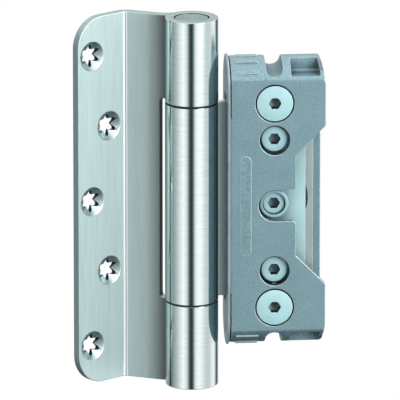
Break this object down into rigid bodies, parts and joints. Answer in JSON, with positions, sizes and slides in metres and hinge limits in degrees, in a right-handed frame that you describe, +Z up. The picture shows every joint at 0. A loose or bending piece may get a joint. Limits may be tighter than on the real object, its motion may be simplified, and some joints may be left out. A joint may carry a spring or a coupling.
{
  "type": "mill-in door hinge",
  "caption": "Heavy door hinge with a cranked door leaf, a three-part barrel and a milled-in frame receiver that adjusts sideways, in height and in depth.",
  "frame": {"origin": "on the hinge pin's axis, at mid-length of the barrel", "axes": "+X from the barrel into the door frame, +Y away from the side where the adjusting screws are turned, +Z up along the pin"},
  "size_m": [0.1059, 0.0275, 0.16],
  "materials": {
    "brushed_stainless": "brushed stainless steel",
    "ground_steel": "ground steel",
    "bearing_plastic": "black sliding plastic",
    "zinc_plated_steel": "zinc-plated steel, satin",
    "spring_steel": "dark phosphated spring steel",
    "pale_zinc_casting": "smooth pale zinc casting",
    "coated_zinc_casting": "fine-textured coated zinc die casting",
    "coated_steel_sheet": "coated steel sheet"
  },
  "bodies": {
    "receiver": {"receiver_housing": "coated_zinc_casting", "side_flange": "coated_steel_sheet"},
    "carriage": {"carriage": "pale_zinc_casting", "side_collar": "zinc_plated_steel", "upper_carriage_nut": "zinc_plated_steel", "lower_carriage_nut": "zinc_plated_steel"},
    "upper_compression_screw": {"upper_compression_screw": "zinc_plated_steel", "upper_compression_ring": "spring_steel"},
    "lower_compression_screw": {"lower_compression_screw": "zinc_plated_steel", "lower_compression_ring": "spring_steel"},
    "upper_height_spindle": {"upper_height_spindle": "zinc_plated_steel", "upper_height_washer": "zinc_plated_steel", "upper_height_ring": "spring_steel"},
    "lower_height_spindle": {"lower_height_spindle": "zinc_plated_steel", "lower_height_washer": "zinc_plated_steel", "lower_height_ring": "spring_steel"},
    "side_spindle": {"side_spindle": "zinc_plated_steel"},
    "height_plate": {"height_plate": "zinc_plated_steel"},
    "frame_leaf": {"frame_leaf": "brushed_stainless", "side_follower": "zinc_plated_steel", "upper_bearing_bush": "bearing_plastic", "lower_bearing_bush": "bearing_plastic"},
    "door_leaf": {"door_leaf": "brushed_stainless", "hinge_pin": "ground_steel", "upper_pin_socket": "brushed_stainless", "lower_pin_socket": "brushed_stainless"}
  },
  "joints": [
    {"name": "depth_adjustment", "type": "slide", "parent": "receiver", "child": "carriage", "axis": [0, 1, 0], "range_m": [-0.002, 0.002]},
    {"name": "upper_compression_turn", "type": "hinge", "parent": "receiver", "child": "upper_compression_screw", "pos_m": [0.0342, 0, 0.0445], "axis": [0, 1, 0], "range_deg": [-721, 721]},
    {"name": "lower_compression_turn", "type": "hinge", "parent": "receiver", "child": "lower_compression_screw", "pos_m": [0.0342, 0, -0.0445], "axis": [0, 1, 0], "range_deg": [-721, 721]},
    {"name": "height_adjustment", "type": "slide", "parent": "carriage", "child": "height_plate", "axis": [0, 0, 1], "range_m": [-0.003, 0.003]},
    {"name": "upper_height_turn", "type": "hinge", "parent": "carriage", "child": "upper_height_spindle", "pos_m": [0.0342, 0, 0.0285], "axis": [0, 1, 0], "range_deg": [-57.3, 57.3]},
    {"name": "lower_height_turn", "type": "hinge", "parent": "carriage", "child": "lower_height_spindle", "pos_m": [0.0342, 0, -0.0285], "axis": [0, 1, 0], "range_deg": [-57.3, 57.3]},
    {"name": "side_adjustment", "type": "slide", "parent": "height_plate", "child": "frame_leaf", "axis": [1, 0, 0], "range_m": [-0.003, 0.003]},
    {"name": "side_turn", "type": "hinge", "parent": "carriage", "child": "side_spindle", "pos_m": [0.0342, 0, 0], "axis": [0, 1, 0], "range_deg": [-57.3, 57.3]},
    {"name": "door_swing", "type": "hinge", "parent": "frame_leaf", "child": "door_leaf", "pos_m": [0, 0, 0], "axis": [0, 0, 1], "range_deg": [-35, 145]}
  ],
  "couplings": [
    {"joint": "upper_compression_turn", "follows": "depth_adjustment", "rad_per_m": 6283.2},
    {"joint": "lower_compression_turn", "follows": "depth_adjustment", "rad_per_m": 6283.2},
    {"joint": "upper_height_turn", "follows": "height_adjustment", "rad_per_m": 333.33},
    {"joint": "lower_height_turn", "follows": "height_adjustment", "rad_per_m": 333.33},
    {"joint": "side_turn", "follows": "side_adjustment", "rad_per_m": 333.33}
  ]
}
